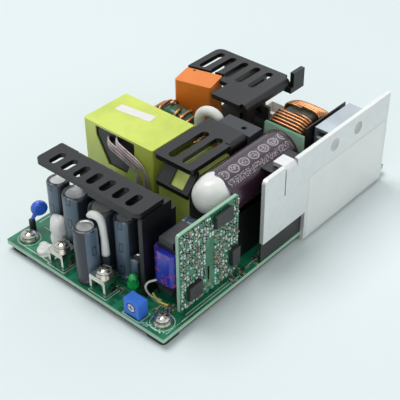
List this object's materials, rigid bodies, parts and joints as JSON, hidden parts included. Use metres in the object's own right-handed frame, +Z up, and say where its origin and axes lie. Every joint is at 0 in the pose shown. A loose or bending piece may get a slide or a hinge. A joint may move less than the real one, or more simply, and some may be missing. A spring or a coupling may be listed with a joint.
{
  "type": "open frame power supply",
  "caption": "Open frame AC to DC power supply: a populated board on an insulating tray, with slotted heatsinks, wound chokes, a lying mains capacitor, screw terminals and a side plate",
  "frame": {"origin": "centre of the board footprint on the surface the corner feet stand on", "axes": "+X across the board towards the side plate, +Y along the board towards the mains end, +Z up, away from the resting surface"},
  "size_m": [0.0777, 0.127, 0.0417],
  "materials": {
    "circuit_board": "green solder resist over glass laminate",
    "black_tray": "black insulating moulding",
    "plated_steel": "bright zinc plated screws",
    "tinned_brass": "tin plated terminal cage",
    "blue_moulding": "blue moulded body",
    "rotor_metal": "plated rotor",
    "green_lens": "tinted translucent lens",
    "capacitor_sleeve": "slate printed sleeve",
    "disc_coating": "dipped blue lacquer",
    "black_sleeve": "black tubing",
    "black_anodised": "black anodised sheet",
    "black_epoxy": "moulded epoxy",
    "small_parts": "chip resistors and capacitors",
    "header_pins": "plated pins",
    "black_bobbin": "glass filled bobbin",
    "ferrite": "sintered ferrite",
    "blue_tape": "blue winding tape",
    "yellow_tape": "yellow polyester tape",
    "litz_wire": "served litz bundles",
    "grey_cap": "grey black moulding",
    "white_sleeving": "white sleeving",
    "bulk_sleeve": "dark plum printed sleeve",
    "dark_sleeve": "dark printed sleeve",
    "white_silicone": "white silicone adhesive",
    "bare_aluminium": "bare aluminium plate",
    "steel_screws": "countersunk plated screws",
    "film": "dark insulating film",
    "plated_bracket": "grey blue plated bracket",
    "toroid_core": "coated powder core",
    "copper_wire": "enamelled copper wire",
    "orange_box": "orange potted film capacitor",
    "green_core": "green coated ferrite ring",
    "white_nylon": "white nylon housing",
    "fuse_glass": "ceramic fuse body"
  },
  "bodies": {
    "supply": {"main_board": "circuit_board", "insulation_tray": "black_tray", "board_screws": "plated_steel", "output_terminal_1": "tinned_brass", "output_terminal_2": "tinned_brass", "terminal_screws": "plated_steel", "terminal_washers": "tinned_brass", "trimmer_body": "blue_moulding", "power_led": "green_lens", "output_capacitor_1": "capacitor_sleeve", "output_capacitor_2": "capacitor_sleeve", "output_capacitor_3": "capacitor_sleeve", "output_capacitor_4": "capacitor_sleeve", "front_capacitor": "capacitor_sleeve", "small_capacitor": "capacitor_sleeve", "disc_capacitor": "disc_coating", "lead_sleeve": "black_sleeve", "front_heatsink": "black_anodised", "rectifier_transistors": "black_epoxy", "control_board": "circuit_board", "control_chips": "black_epoxy", "control_passives": "small_parts", "control_header": "header_pins", "aux_bobbin": "black_bobbin", "aux_core": "ferrite", "aux_winding": "blue_tape", "main_transformer_core": "ferrite", "main_transformer_bobbin": "black_bobbin", "main_transformer_tape": "yellow_tape", "transformer_leads": "litz_wire", "resonant_core": "ferrite", "resonant_bobbin": "black_bobbin", "resonant_tape": "yellow_tape", "middle_heatsink": "black_anodised", "switching_transistors": "black_epoxy", "transistor_cover": "grey_cap", "sleeved_jumper": "white_sleeving", "bulk_capacitor": "bulk_sleeve", "bulk_capacitor_board": "circuit_board", "standby_capacitor": "dark_sleeve", "silicone_dome": "white_silicone", "silicone_beads": "white_silicone", "side_plate": "bare_aluminium", "plate_screws": "steel_screws", "plate_insulator": "film", "rectifier_bracket": "plated_bracket", "bridge_rectifiers": "black_epoxy", "barrier_sheet": "film", "boost_choke_core": "toroid_core", "boost_choke_winding": "copper_wire", "choke_bases": "black_bobbin", "rear_heatsink": "black_anodised", "boost_transistors": "black_epoxy", "x_capacitor": "orange_box", "common_mode_core": "green_core", "common_mode_windings": "copper_wire", "input_connector": "white_nylon", "input_fuse": "fuse_glass", "relay": "black_epoxy"},
    "rotor": {"trimmer_rotor": "rotor_metal"}
  },
  "joints": [
    {"name": "trim_adjust", "type": "hinge", "parent": "supply", "child": "rotor", "pos_m": [0.0232, -0.0625, 0.008], "axis": [0, 1, 0], "range_deg": [-130, 130]}
  ]
}
